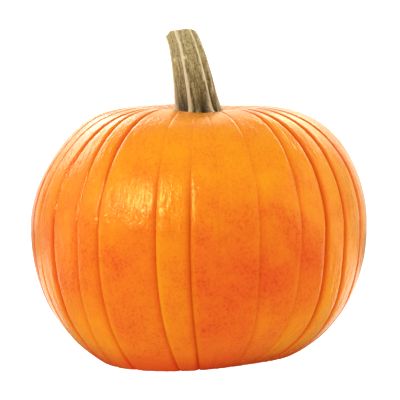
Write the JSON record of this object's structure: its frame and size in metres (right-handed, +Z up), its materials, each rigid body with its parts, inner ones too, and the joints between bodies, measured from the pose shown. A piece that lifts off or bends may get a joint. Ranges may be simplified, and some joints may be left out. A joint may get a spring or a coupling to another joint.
{
  "type": "pumpkin",
  "caption": "Broad ribbed pumpkin, flattened at the crown, with a leaning ridged dry stem, resting on its blossom end.",
  "frame": {"origin": "on the ground under the middle of the part's box, which is also under the fruit's own axis", "axes": "+Z up along the fruit's axis to the stem, -Y towards the side that the picture shows, +X to its right; the stem leans towards -X"},
  "size_m": [0.2998, 0.3, 0.293],
  "materials": {
    "skin": "satin",
    "stem": "matte"
  },
  "bodies": {
    "root": {"fruit": "skin", "stem": "stem"}
  },
  "joints": []
}
